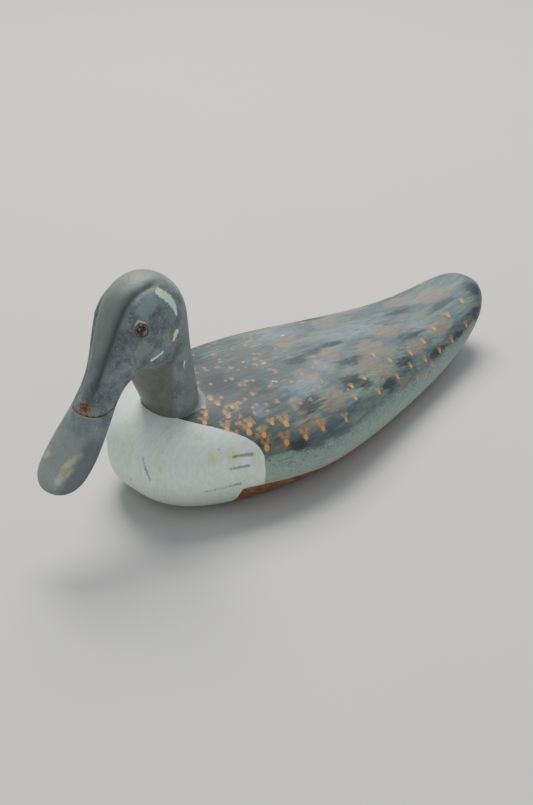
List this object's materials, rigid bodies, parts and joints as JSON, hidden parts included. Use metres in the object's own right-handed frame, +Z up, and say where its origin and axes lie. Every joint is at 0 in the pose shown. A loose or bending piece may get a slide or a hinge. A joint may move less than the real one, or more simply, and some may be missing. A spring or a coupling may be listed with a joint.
{
  "type": "floating duck decoy",
  "caption": "Carved wooden duck decoy: hollowed hull on a bottom board, separate turned head with pinned bill, glass eyes, flush ballast and a folding line ring.",
  "frame": {"origin": "centre of the whole decoy's box on the surface it rests on", "axes": "+Z up, -Y towards the bill, +X the duck's left side"},
  "size_m": [0.1445, 0.4077, 0.1597],
  "materials": {
    "painted_body": "worn matt paint on carved softwood",
    "board_wood": "bare brown wood with paint worn off",
    "painted_head": "worn grey-brown matt paint",
    "joint_filler": "wood glue and filler",
    "dowel_wood": "turned hardwood",
    "zinc_steel": "dull zinc",
    "eye_glass": "polished",
    "iris_enamel": "painted amber behind glass",
    "pupil_enamel": "painted black behind glass",
    "eye_putty": "hardened putty",
    "ballast_lead": "dull cast lead",
    "screw_brass": "tarnished",
    "tie_brass": "tarnished wire"
  },
  "bodies": {
    "decoy": {"body_block": "painted_body", "bottom_board": "board_wood", "head_block": "painted_head", "bill": "painted_head", "bill_joint_filler": "joint_filler", "bill_dowel": "dowel_wood", "neck_joint_filler": "painted_head", "neck_dowel": "dowel_wood", "neck_lag_screw": "zinc_steel", "neck_washer": "zinc_steel", "left_eye_glass": "eye_glass", "left_eye_iris": "iris_enamel", "left_eye_pupil": "pupil_enamel", "left_eye_putty": "eye_putty", "right_eye_glass": "eye_glass", "right_eye_iris": "iris_enamel", "right_eye_pupil": "pupil_enamel", "right_eye_putty": "eye_putty", "ballast_weight": "ballast_lead", "ballast_screws": "screw_brass", "board_screws": "screw_brass", "line_tie_staple": "tie_brass"},
    "line_ring": {"line_tie_ring": "tie_brass"}
  },
  "joints": [
    {"name": "line_ring_swing", "type": "hinge", "parent": "decoy", "child": "line_ring", "pos_m": [0, -0.08, 0.0044], "axis": [0, 1, 0], "range_deg": [0, 140]}
  ]
}
